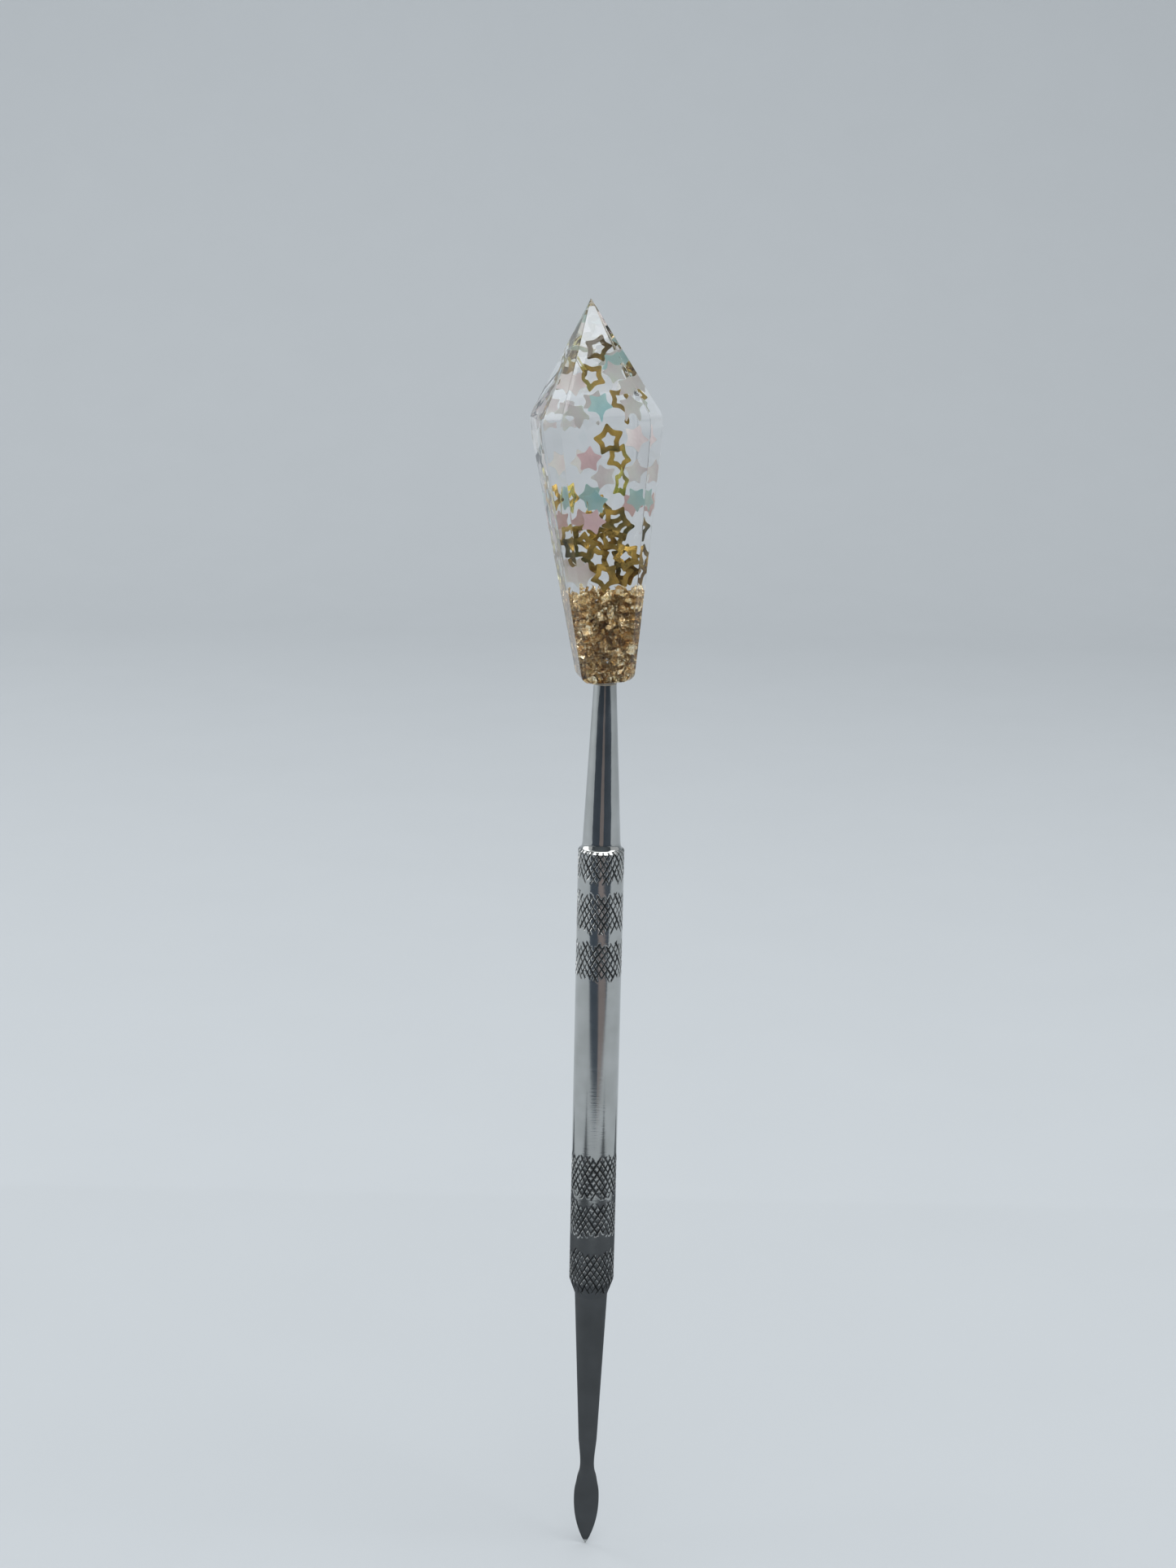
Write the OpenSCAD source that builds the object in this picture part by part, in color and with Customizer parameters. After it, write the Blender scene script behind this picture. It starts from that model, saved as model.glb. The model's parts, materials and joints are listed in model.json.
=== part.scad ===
// Crystal-headed wand: a polished steel hand tool, knurled at both ends of its grip,
// with a faceted clear resin crystal glued on its upper shank.
// Millimetres, +Z up. The origin is the middle of the smooth grip, on the handle's axis.

/* [Handle] */
// Outside diameter of the handle
handle_d = 6; // [5.6:0.1:10]
// Length of the smooth polished grip between the two groups of knurled bands
grip_len = 24.9; // [15:0.1:60]
// Lengths of the three knurled bands above the grip, from the grip upwards
upper_bands = [4.9, 5.1, 4]; // [1:0.1:10]
// Plain gaps after the first and second of those bands
upper_gaps = [1.5, 1.6]; // [0.3:0.1:5]
// Lengths of the three knurled bands below the grip, from the grip downwards
lower_bands = [5.5, 4.8, 4.8]; // [1:0.1:10]
// Plain gaps after the first and second of those bands
lower_gaps = [0.9, 2.2]; // [0.3:0.1:5]
// Depth of the knurl's diamond grooves; a band is drawn as the core at their bottom
knurl_depth = 0.24; // [0.16:0.01:0.4]
// Bevel round the handle's upper rim
rim_bevel = 0.25; // [0.05:0.05:0.5]
// Length of the long bevel at the handle's lower end
end_taper_len = 2.3; // [0.5:0.1:6]

/* [Shanks] */
// Diameter of the spigot that holds each shank in the handle
spigot_d = 3.2; // [2:0.1:3.8]
// Length of that spigot
spigot_len = 12; // [5:0.5:16]
// Radial room of the spigot in its bore, which braze fills
spigot_gap = 0.01; // [0.01:0.01:0.05]
// Length of the upper shank between the handle and the crystal
upper_neck_len = 22; // [12:0.5:40]
// Diameter of the upper shank just above its foot
upper_neck_d = 4.9; // [4:0.1:5.2]
// Diameter of the upper shank where it enters the crystal
tang_d = 2.9; // [2:0.1:3.5]
// Length of the tang inside the crystal
tang_len = 7; // [4:0.5:9]
// Length of the lower shank's round taper
lower_neck_len = 22; // [10:0.5:40]
// Diameter of the lower shank just under the handle
lower_neck_d = 4.4; // [4:0.1:4.8]
// Diameter of the lower shank where its blade begins
blade_neck_d = 2.5; // [1.5:0.1:3]

/* [Blade] */
// Length of the leaf-shaped blade at the lower end
blade_len = 16; // [10:0.5:30]
// Greatest width of the blade
blade_w = 3.4; // [2.6:0.1:5]
// Thickness of the blade at its root
blade_root_t = 1; // [0.6:0.1:1.4]
// Thickness of the blade at its tip
blade_tip_t = 0.4; // [0.2:0.05:0.6]

/* [Crystal] */
// Height of the crystal from its base to its point
head_len = 47.5; // [44:0.5:70]
// Height of the widest ridge above the base
girdle_h = 33.4; // [32:0.1:40]
// Height of the nearly straight belt under that ridge
belt_h = 1.8; // [0.5:0.1:4]
// Distance from the axis to a broad facet at the ridge
girdle_a = 7.4; // [7:0.1:9]
// The same distance at the base
base_a = 3.3; // [3.2:0.1:4.5]
// How far each corner facet cuts in along the broad facets at the ridge; it narrows from there
corner_cut = 1.9; // [0.8:0.1:2.2]
// Height of the rounded-off edge round the base
base_edge = 0.7; // [0.2:0.1:1.2]
// Height of the gold-leaf pour above the base
leaf_pour_h = 11.4; // [9:0.1:13]
// Turn of the crystal about its own axis
head_turn = 10; // [0:1:20]
// Lean of the crystal away from the handle's axis
head_tilt = 3.4; // [0:0.1:4]

/* [Glue] */
// Thickness of the glue film round the tang
glue_film = 0.15; // [0.05:0.05:0.3]
// Height of the glue bead that shows under the crystal
bead_h = 0.45; // [0.2:0.05:1]
// How far the bead spreads round the shank
bead_spread = 0.8; // [0.3:0.1:1.2]

/* [Confetti] */
// Radius of a gold outline star, from its middle to a point
outline_star_r = 2.1; // [1.2:0.1:2.2]
// Width of the gold line that makes the outline star
outline_star_w = 0.56; // [0.3:0.02:0.6]
// Radius of a solid film star, from its middle to a point
film_star_r = 1.8; // [0.8:0.1:1.9]
// Thickness of the film
film_t = 0.12; // [0.08:0.01:0.16]
// Size of a flake of gold leaf, across
flake_size = 1.1; // [0.5:0.1:1.2]
// Thickness of a crumpled flake
flake_t = 0.12; // [0.08:0.01:0.16]

/* [Hidden] */
$fn = 64;
SLIVER = 0.01;
DRILL_RUN = 2;            // the socket is drilled from this far below the crystal's base

handle_top = grip_len / 2 + sum(upper_bands) + sum(upper_gaps);
taper_top = -grip_len / 2 - sum(lower_bands) - sum(lower_gaps);
handle_bottom = taper_top - end_taper_len;
foot_d = handle_d - 2 * rim_bevel;
head_z = handle_top + upper_neck_len;
blade_z = handle_bottom - lower_neck_len;
socket_d = tang_d + 2 * glue_film;
socket_len = tang_len + glue_film;
point_depth = 0.54;       // inner radius of a solid star, as a share of its outer radius
outline_depth = 0.58;     // the same share for an outline star

// Places in the crystal: [x, y, level], then [turn, tip, spin] in degrees. Level 0 is the top
// of the gold-leaf pour, 1 the widest ridge and 2 the point, so a place keeps its facet.
OUTLINE_STARS = [
    [[0.5, -0.6, 1.55], [25, 8, 14]],    [[-0.7, 1.9, 1.25], [-15, -14, 40]],
    [[2.9, 1.4, 1.04], [-25, 12, 20]],   [[1.3, -3, 0.88], [12, 10, -8]],
    [[2.3, 0.8, 0.78], [-30, 10, 30]],   [[2.6, -1.6, 0.64], [62, 5, 10]],
    [[-4.2, 1.2, 0.57], [-38, -6, 24]],  [[-3.6, -2.2, 0.55], [74, 6, 0]],
    [[-2.3, -2.4, 0.29], [-14, 6, 10]],  [[3.1, -2.6, 0.22], [26, -8, 50]],
    [[2.8, 0.3, 0.13], [-12, 8, 22]],    [[1.9, -3.2, 0.43], [8, -6, 33]],
    [[1.3, -0.9, 0.32], [-10, 12, 4]],   [[0.4, -2.9, 0.11], [10, -4, 44]],
    [[2.1, 1.8, 0.38], [16, 8, 16]],     [[-0.9, 1.8, 0.2], [-20, 4, 52]],
    [[-0.6, 0.7, 0.5], [24, -10, 28]],   [[2.6, 2, 0.2], [14, 6, 12]],
    [[0, 3.4, 0.32], [-8, -6, 40]],      [[-2.4, 0.2, 0.35], [30, 6, 20]],
    [[-0.8, -1.4, 0.21], [4, 12, 60]],   [[2, -1.3, 0.12], [0, -4, 8]],
    [[-2.1, 0.9, 1.41], [-90, 27, 0]],
];
PEARL_STARS = [
    [[-1.1, 0.6, 1.52], [-30, 60, 8]],   [[1.8, 1.6, 1.41], [20, 20, 30]],
    [[2.4, -2.2, 1.35], [-24, 12, 50]],  [[3.9, 0.6, 1.18], [30, 10, 12]],
    [[-2.6, -1.9, 1.25], [18, -8, 36]],  [[4.3, -2.2, 1.04], [-20, 14, 2]],
    [[4.6, -2.4, 0.88], [22, -10, 26]],  [[-4, 1.4, 0.99], [-34, 10, 60]],
    [[-0.6, 2.8, 1.01], [14, 20, 18]],   [[-2.4, 2.2, 0.77], [-22, -12, 44]],
    [[0.6, -3.9, 0.68], [10, 16, 54]],   [[4.2, 2.4, 0.69], [36, 8, 6]],
    [[-4, 1.5, 0.33], [-28, 4, 34]],     [[-3.2, 0.7, 0.15], [12, -10, 14]],
    [[-2.5, -2.2, 0.13], [12, 6, 22]],   [[-2.5, -2.8, 1], [-16, 34, 40]],
];
PINK_STARS = [
    [[-1.1, -4.3, 0.78], [-8, 4, 6]],    [[-0.9, -4, 0.43], [12, -8, 22]],
    [[-2.7, 3.2, 0.43], [30, 10, 48]],   [[3.6, 2.8, 0.51], [-26, -6, 30]],
];
AQUA_STARS = [
    [[0.4, -3.4, 1.07], [10, -6, 30]],   [[-0.6, -2.3, 0.54], [-16, 18, 10]],
    [[-1.6, 3.2, 0.57], [20, 10, 52]],   [[2.2, 0, 1.41], [36, 14, 24]],
    [[4.4, -0.4, 0.54], [-34, 8, 40]],
];

// Gold leaf: flakes in rings round the tang, each ring turned by the golden angle.
LEAF_RINGS = 7;
LEAF_PER_RING = 9;
LEAF_R = 2.65;
LEAF_GROW = 0.13;         // the rings widen with the crystal, by this much per mm of height
LEAF_FIRST_Z = 1.2;
GOLDEN_ANGLE = 137.5;

function sum(list, i = 0) = i < len(list) ? list[i] + sum(list, i + 1) : 0;
function names(stem, places) = [for (i = [0:len(places) - 1]) str(stem, "_", i + 1)];

// Distance from the crystal's axis to a broad facet, at a height up to the belt.
function facet_a(z) = base_a + (girdle_a - base_a) * z / (girdle_h - belt_h);

// Eight corners of a square with cut corners, at height z.
function ring(a, z) =
    [for (q = [0:3], s = [0, 1])
        let (b = a - corner_cut * a / girdle_a, u = s == 0 ? a : b, v = s == 0 ? b : a)
        [u * cos(90 * q) - v * sin(90 * q), u * sin(90 * q) + v * cos(90 * q), z]];

// Corners of a five-pointed star, the first point upwards.
function star_points(r, depth) =
    [for (i = [0:9]) let (k = i % 2 == 0 ? r : r * depth) [k * sin(36 * i), k * cos(36 * i)]];

// Solid through a stack of eight-cornered rings, closed by a flat top or by a point.
module stack(rings, apex = 0) {
    n = len(rings);
    top = 8 * (n - 1);
    sides = [for (k = [0:n - 2], i = [0:7])
        [8 * k + i, 8 * (k + 1) + i, 8 * (k + 1) + (i + 1) % 8, 8 * k + (i + 1) % 8]];
    roof = apex > 0 ? [for (i = [0:7]) [top + i, 8 * n, top + (i + 1) % 8]]
                    : [[for (i = [7:-1:0]) top + i]];
    points = [for (r = rings, p = r) p];
    polyhedron(apex > 0 ? concat(points, [[0, 0, apex]]) : points,
        concat([[for (i = [0:7]) i]], sides, roof));
}

// Moves a shape from the crystal's leaning frame into the wand's.
module in_head() translate([0, 0, head_z]) rotate([0, -head_tilt, 0]) children();

module leaf_blank()
    in_head() rotate([0, 0, head_turn]) stack([
        ring(base_a - base_edge, 0),
        ring(facet_a(base_edge), base_edge),
        ring(facet_a(leaf_pour_h), leaf_pour_h)]);

module clear_blank()
    in_head() rotate([0, 0, head_turn]) stack([
        ring(facet_a(leaf_pour_h), leaf_pour_h),
        ring(girdle_a, girdle_h - belt_h),
        ring(girdle_a, girdle_h)], head_len);

// Hole in the crystal for the tang and its glue, drilled along the handle's axis.
module socket() translate([0, 0, head_z - DRILL_RUN]) cylinder(d = socket_d, h = socket_len + DRILL_RUN);

// Height above the base of a level.
function level_z(v) =
    v < 1 ? leaf_pour_h + (girdle_h - leaf_pour_h) * v : girdle_h + (head_len - girdle_h) * (v - 1);

module at_place(place)
    in_head() translate([place[0][0], place[0][1], level_z(place[0][2])])
        rotate([place[1][1], 0, place[1][0]]) rotate([90, place[1][2], 0]) children();

module film(place)
    at_place(place) linear_extrude(film_t, center = true) polygon(star_points(film_star_r, point_depth));

module outline(place)
    at_place(place) linear_extrude(film_t, center = true) difference() {
        polygon(star_points(outline_star_r, outline_depth));
        polygon(star_points(outline_star_r - 2 * outline_star_w, outline_depth));
    }

module flakes()
    for (k = [0:LEAF_RINGS - 1], i = [0:LEAF_PER_RING - 1])
        let (z = LEAF_FIRST_Z + k * (leaf_pour_h - 2 * LEAF_FIRST_Z) / (LEAF_RINGS - 1),
            a = i * 360 / LEAF_PER_RING + k * GOLDEN_ANGLE,
            r = LEAF_R + LEAF_GROW * z)
        in_head() rotate([0, 0, a]) translate([r, 0, z])
            rotate([25 * sin(3 * a), 90 - 35 * cos(2 * a), 40 * sin(5 * a)])
            linear_extrude(flake_t, center = true) circle(d = flake_size, $fn = 5);

module neck(foot, root, tip, len)
    // Round taper on a short flared foot: the flare is a quarter ellipse.
    rotate_extrude() polygon(concat(
        [[0, 0]],
        [for (t = [0:15:90])
            [root / 2 + (foot - root) / 2 * (1 - sin(t)), foot_flare(foot, root) * (1 - cos(t))]],
        [[tip / 2, len], [0, len]]));
function foot_flare(foot, root) = 2 * (foot - root);

module handle_bar() color("silver") difference() {
    union() {
        translate([0, 0, taper_top]) cylinder(d = handle_d, h = handle_top - rim_bevel - taper_top);
        translate([0, 0, handle_top - rim_bevel]) cylinder(d1 = handle_d, d2 = foot_d, h = rim_bevel);
        translate([0, 0, handle_bottom]) cylinder(d1 = lower_neck_d, d2 = handle_d, h = end_taper_len);
    }
    for (i = [0:2]) {
        up = grip_len / 2 + sum([for (j = [0:1:i - 1]) upper_bands[j] + upper_gaps[j]]);
        down = grip_len / 2 + sum([for (j = [0:1:i - 1]) lower_bands[j] + lower_gaps[j]]);
        trim = i == 2 ? rim_bevel : 0;
        translate([0, 0, up]) knurl_band(upper_bands[i] - trim);
        translate([0, 0, -down - lower_bands[i]]) knurl_band(lower_bands[i]);
    }
    translate([0, 0, handle_top - spigot_len - spigot_gap]) spigot_bore();
    translate([0, 0, handle_bottom - SLIVER]) spigot_bore();
}
module knurl_band(len)
    rotate_extrude() translate([handle_d / 2 - knurl_depth, 0]) square([2 * knurl_depth, len]);
module spigot_bore() cylinder(d = spigot_d + 2 * spigot_gap, h = spigot_len + spigot_gap + SLIVER);

module upper_shank() color("lightsteelblue") {
    translate([0, 0, handle_top - spigot_len]) cylinder(d = spigot_d, h = spigot_len);
    translate([0, 0, handle_top]) neck(foot_d, upper_neck_d, tang_d, upper_neck_len);
    translate([0, 0, head_z]) cylinder(d = tang_d, h = tang_len);
}

module lower_shank() color("slategray") {
    translate([0, 0, handle_bottom]) cylinder(d = spigot_d, h = spigot_len);
    translate([0, 0, handle_bottom]) mirror([0, 0, 1])
        neck(lower_neck_d, lower_neck_d, blade_neck_d, lower_neck_len);
    translate([0, 0, blade_z - blade_len / 2])
        cylinder(d1 = blade_tip_t, d2 = blade_neck_d, h = blade_len / 2);
    intersection() {
        translate([0, blade_w, blade_z]) rotate([90, 0, 0])
            linear_extrude(2 * blade_w) polygon(leaf_outline());
        translate([-blade_w, 0, blade_z]) rotate([90, 0, 90]) linear_extrude(2 * blade_w) polygon([
            [-blade_root_t / 2, 0], [-blade_tip_t / 2, -blade_len],
            [blade_tip_t / 2, -blade_len], [blade_root_t / 2, 0]]);
    }
}

// Leaf outline, point down: the half width follows a sine that is pulled towards the point.
function leaf_half(t) = max(
    blade_neck_d / 2 * (1 - 2 * t),
    blade_w / 2 * pow(sin(180 * pow(t, 1.3)), 0.8));
function leaf_outline() = concat(
    [for (t = [0:1 / 24:1]) [leaf_half(t), -blade_len * t]],
    [for (t = [1 - 1 / 24:-1 / 24:0]) [-leaf_half(t), -blade_len * t]]);

module clear_pour() color("lightcyan", 0.4) difference() {
    clear_blank();
    for (p = OUTLINE_STARS) outline(p);
    for (p = concat(PEARL_STARS, PINK_STARS, AQUA_STARS)) film(p);
}

module leaf_pour() color("khaki", 0.5) difference() {
    leaf_blank();
    socket();
    flakes();
}

module glue_bond() color("whitesmoke") difference() {
    union() {
        socket();
        translate([0, 0, head_z - bead_h])
            cylinder(d1 = tang_d, d2 = tang_d + 2 * bead_spread, h = 2 * bead_h);
    }
    difference() {
        leaf_blank();
        socket();
    }
    translate([0, 0, head_z - DRILL_RUN - SLIVER])
        cylinder(d = socket_d + 1, h = DRILL_RUN - bead_h + SLIVER);
    upper_shank();
}

module gold_leaf() color("gold") flakes();
module outline_star(i) color("goldenrod") outline(OUTLINE_STARS[i]);
module pearl_star(i) color("lavender") film(PEARL_STARS[i]);
module pink_star(i) color("pink") film(PINK_STARS[i]);
module aqua_star(i) color("aquamarine") film(AQUA_STARS[i]);

handle_bar();
upper_shank();
lower_shank();
clear_pour();
leaf_pour();
glue_bond();
gold_leaf();
for (i = [0:len(OUTLINE_STARS) - 1])
    outline_star(i);
for (i = [0:len(PEARL_STARS) - 1])
    pearl_star(i);
for (i = [0:len(PINK_STARS) - 1])
    pink_star(i);
for (i = [0:len(AQUA_STARS) - 1])
    aqua_star(i);
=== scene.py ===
import json
from math import asin, cos, pi, radians, sin, tan

import bpy
import numpy as np
from bpy.props import (
    FloatProperty, FloatVectorProperty, IntProperty, PointerProperty,
)
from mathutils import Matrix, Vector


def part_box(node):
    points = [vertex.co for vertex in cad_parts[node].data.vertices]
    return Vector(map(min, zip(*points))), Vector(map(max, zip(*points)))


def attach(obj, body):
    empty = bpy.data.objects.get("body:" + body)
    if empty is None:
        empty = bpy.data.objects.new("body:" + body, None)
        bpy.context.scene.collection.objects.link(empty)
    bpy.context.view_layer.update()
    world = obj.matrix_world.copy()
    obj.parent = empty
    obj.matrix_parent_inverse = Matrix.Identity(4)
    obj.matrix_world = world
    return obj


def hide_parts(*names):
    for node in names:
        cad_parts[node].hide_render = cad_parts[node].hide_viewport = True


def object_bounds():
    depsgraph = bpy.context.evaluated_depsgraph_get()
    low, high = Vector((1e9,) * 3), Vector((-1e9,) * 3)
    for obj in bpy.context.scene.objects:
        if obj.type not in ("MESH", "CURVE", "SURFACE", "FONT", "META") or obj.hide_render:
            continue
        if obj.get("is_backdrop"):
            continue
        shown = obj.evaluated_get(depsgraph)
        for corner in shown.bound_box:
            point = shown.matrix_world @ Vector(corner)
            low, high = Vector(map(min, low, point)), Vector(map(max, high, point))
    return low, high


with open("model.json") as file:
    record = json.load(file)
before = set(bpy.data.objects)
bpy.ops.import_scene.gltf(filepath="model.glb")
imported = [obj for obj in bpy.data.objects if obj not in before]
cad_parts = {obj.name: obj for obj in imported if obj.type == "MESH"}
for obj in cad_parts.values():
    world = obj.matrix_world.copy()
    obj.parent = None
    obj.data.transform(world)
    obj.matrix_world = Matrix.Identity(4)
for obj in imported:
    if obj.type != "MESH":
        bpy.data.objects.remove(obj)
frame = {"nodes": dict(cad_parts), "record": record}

bl_info = {
    "name": "Crystal Wand",
    "version": (1, 0, 0),
    "blender": (4, 5, 0),
    "location": "View3D > Sidebar > Wand",
    "description": "Builds a knurled steel wand with a resin crystal full of confetti and gold leaf",
    "category": "Object",
}

MM = 0.001
BODY = "root"
GRIP = next(m for m in frame["record"]["mounts"] if m["name"] == "grip")


# ---------------------------------------------------------------- sizes and colours

def length(name, description, millimetres):
    """A length property whose default is given in millimetres."""
    return FloatProperty(name=name, description=description, default=millimetres * MM,
                         subtype="DISTANCE", unit="LENGTH", precision=5)


def lengths(name, description, millimetres):
    """A row of length properties, from the grip outwards."""
    return FloatVectorProperty(name=name, description=description, size=len(millimetres),
                               default=[v * MM for v in millimetres],
                               subtype="NONE", unit="LENGTH", precision=5)


def angle(name, description, value):
    return FloatProperty(name=name, description=description, default=radians(value),
                         subtype="ANGLE", unit="ROTATION")


def colour(name, description, code):
    return FloatVectorProperty(name=name, description=description, size=4,
                               default=linear(code), subtype="COLOR", min=0, max=1)


def linear(code):
    """Turns an sRGB hex colour such as b08d57 into linear RGBA."""
    s = np.array([int(code[i:i + 2], 16) for i in (0, 2, 4)]) / 255
    rgb = np.where(s <= 0.04045, s / 12.92, ((s + 0.055) / 1.055) ** 2.4)
    return (*rgb.tolist(), 1.0)


class SteelSizes(bpy.types.PropertyGroup):
    upper_bands: lengths("Upper Bands", "Knurled bands above the grip, outwards", (4.9, 5.1, 4.0))
    upper_gaps: lengths("Upper Gaps", "Plain gaps between the upper bands", (1.5, 1.6))
    lower_bands: lengths("Lower Bands", "Knurled bands below the grip, outwards", (5.5, 4.8, 4.8))
    lower_gaps: lengths("Lower Gaps", "Plain gaps between the lower bands", (0.9, 2.2))
    knurl_depth: length("Knurl Depth", "Depth of the diamond grooves", 0.13)
    knurl_starts: IntProperty(name="Knurl Starts", default=24, min=8, max=48,
                              description="Grooves that start round the bar, each way")
    knurl_lead: angle("Knurl Lead", "Angle of the grooves from the bar's axis", 31)
    knurl_run_on: length("Knurl Run-on", "How far the last band runs on to the end bevel", 1.4)
    rim_bevel: length("Rim Bevel", "Bevel of the upper rim", 0.25)
    end_taper: length("End Bevel", "Length of the bevel at the lower end", 2.3)
    spigot_len: length("Spigot", "Length of each shank's spigot in the bar", 12)
    spigot_d: length("Spigot Diameter", "Diameter of those spigots", 3.2)
    upper_neck_d: length("Upper Neck", "Diameter of the upper shank above its foot", 4.9)
    tang_d: length("Tang", "Diameter of the upper shank in the crystal", 2.9)
    tang_len: length("Tang Length", "Length of the shank inside the crystal", 7)
    lower_neck_d: length("Lower Neck", "Diameter of the lower shank under the bar", 4.4)
    blade_neck_d: length("Blade Neck", "Diameter of the lower shank above its blade", 2.5)
    blade_len: length("Blade Length", "Length of the leaf-shaped blade", 16)
    blade_w: length("Blade Width", "Greatest width of the blade", 3.4)
    blade_t: length("Blade Thickness", "Thickness of the blade at its middle", 0.8)


class CrystalSizes(bpy.types.PropertyGroup):
    girdle_h: length("Ridge Height", "Height of the widest ridge above the base", 33.4)
    belt_h: length("Belt", "Height of the straight belt under the ridge", 1.8)
    girdle_a: length("Ridge Half Width", "Axis to a broad facet at the ridge", 7.4)
    base_a: length("Base Half Width", "Axis to a broad facet at the base", 3.3)
    corner_cut: length("Corner Cut", "How far a corner facet cuts in at the ridge", 1.9)
    base_edge: length("Base Edge", "Height of the rounded edge round the base", 0.7)
    soft_edge: length("Soft Edge", "Radius of the edges between facets", 0.22)
    wave: length("Surface Wave", "Scale of the slow waves of a hand-polished facet", 0.01)
    turn: angle("Turn", "Turn of the crystal about its own axis", 10)
    tilt: angle("Lean", "Lean of the crystal away from the bar", 3.4)
    bead_spread: length("Bead Spread", "How far the glue bead spreads round the shank", 0.75)
    bead_h: length("Bead Height", "Height of the glue bead under the crystal", 0.45)


class ConfettiSizes(bpy.types.PropertyGroup):
    film_t: length("Film", "Thickness of a confetti film", 0.05)
    outline_hole: FloatProperty(name="Outline Hole", default=0.47, min=0.2, max=0.8, subtype="FACTOR",
                                description="Size of an outline star's hole beside the star")
    curl: FloatProperty(name="Curl", default=0.17, min=0, max=0.4,
                        description="Greatest curvature of a star, per millimetre")
    flakes: IntProperty(name="Flakes", default=1000, min=100, max=3000,
                        description="Flakes of gold leaf in the lower pour")
    flake_size: length("Flake Size", "Typical width of a flake of leaf", 1.5)
    flake_t: length("Flake Thickness", "Thickness of a flake of leaf", 0.02)
    leaf_top: length("Leaf Height", "Typical height of the leaf above the base", 11.7)
    seed: IntProperty(name="Seed", default=7, description="Seed of every scatter")


class StageSizes(bpy.types.PropertyGroup):
    distance: length("Camera Distance", "Level distance from the camera to the bar's axis", 283)
    above_tip: length("Camera Height", "Height of the camera above the crystal's point", 6.4)
    aside: length("Camera Aside", "How far the camera stands to the left", 1.9)
    pitch: angle("Pitch", "How far the camera looks down", 13.4)
    roll: angle("Roll", "How far the camera is turned about its view", 1.24)
    lens: FloatProperty(name="Lens", default=51.97, subtype="DISTANCE_CAMERA", unit="CAMERA",
                        description="Focal length for a frame 36 mm high")
    floor_colour: colour("Floor", "Pale matte paper of the floor and backdrop", "b1b6ba")
    room_colour: colour("Room", "Soft light of the room", "f1f4f6")
    front_colour: colour("Front Card", "Navy card before the wand, which the steel mirrors", "39434f")
    middle_colour: colour("Middle Card", "Warm grey strip on that card", "837876")
    stand_colour: colour("Stand Card", "Dark card under the wand, which the steel mirrors", "42464b")
    wall_colour: colour("Wall Card", "Mid grey card before the wand, for the facets to mirror", "7b8084")


# ---------------------------------------------------------------- mesh helpers

def grid_quads(rows, cols, wrap=True):
    """Quads of a grid of points, row by row, which close round the columns when wrap is true."""
    across = cols if wrap else cols - 1
    r, c = np.meshgrid(np.arange(rows - 1), np.arange(across), indexing="ij")
    right = (c + 1) % cols
    return np.stack([r * cols + c, r * cols + right, (r + 1) * cols + right, (r + 1) * cols + c],
                    axis=-1).reshape(-1, 4)


def closed_tube(rings):
    """Points and faces of a stack of rings, given as an array of rings by points by 3, lowest first.
    Each end is closed by a fan to the middle of its last ring."""
    n, m, _ = rings.shape
    points = np.vstack([rings.reshape(-1, 3), rings[0].mean(0), rings[-1].mean(0)])
    i = np.arange(m)
    low = np.stack([(i + 1) % m, i, np.full(m, n * m)], axis=-1)
    high = np.stack([(n - 1) * m + i, (n - 1) * m + (i + 1) % m, np.full(m, n * m + 1)], axis=-1)
    return points, [grid_quads(n, m), low, high]


def join_rows(rows, cols):
    """Faces that join the last row of a grid of closed rows to its first, which makes it a ring."""
    last = (rows - 1) * cols
    i = np.arange(cols)
    following = (i + 1) % cols
    return np.stack([last + i, last + following, following, i], axis=-1)


def make_piece(name, points, faces, material, replaced, sharp=None, grime_and_shade=None):
    """Puts points in metres and lists of faces into a new object, smooth except past the sharp angle,
    parents it to the body's empty and hides the CAD nodes it stands for. The last argument is a number
    for each point, the knurl's grime and painted shade, kept as an attribute that the material reads."""
    mesh = bpy.data.meshes.new(name)
    mesh.from_pydata(points.tolist(), [], [f for block in faces for f in block.tolist()])
    # The attribute carries the knurl's grime and painted shade, by groove depth, for the material.
    if grime_and_shade is not None:
        mesh.attributes.new("grime_and_shade", "FLOAT", "POINT").data.foreach_set("value", grime_and_shade)
    mesh.polygons.foreach_set("use_smooth", np.ones(len(mesh.polygons), bool))
    if sharp is not None:
        mesh.set_sharp_from_angle(angle=sharp)
    mesh.update()
    mesh.materials.append(material)
    obj = bpy.data.objects.new(name, mesh)
    bpy.context.scene.collection.objects.link(obj)
    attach(obj, BODY)
    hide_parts(*replaced)


def revolve(profile, segments):
    """Rings of a profile of (radius, height) turned about Z."""
    a = np.arange(segments) * 2 * pi / segments
    r, z = profile[:, :1], profile[:, 1:]
    return np.stack([r * np.cos(a), r * np.sin(a), z + 0 * a], axis=-1)


def ease(t):
    """Smooth step from 0 to 1."""
    t = np.clip(t, 0, 1)
    return t * t * (3 - 2 * t)


def node_box(name):
    low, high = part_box(name)
    return np.array(low), np.array(high)


def head_height(steel):
    """Height of the crystal's base on the bar's axis."""
    return node_box("upper_shank")[1][2] - steel.tang_len


def to_wand(points, steel, crystal):
    """Moves points from the crystal's own upright frame to the leaning place on the shank."""
    turn = crystal.turn
    spin = np.array([[cos(turn), -sin(turn), 0], [sin(turn), cos(turn), 0], [0, 0, 1]])
    t = -crystal.tilt
    lean = np.array([[cos(t), 0, sin(t)], [0, 1, 0], [-sin(t), 0, cos(t)]])
    return points @ (lean @ spin).T + np.array([0, 0, head_height(steel)])


def head_length(steel, crystal):
    return (node_box("clear_pour")[1][2] - head_height(steel)) / cos(crystal.tilt)


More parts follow.
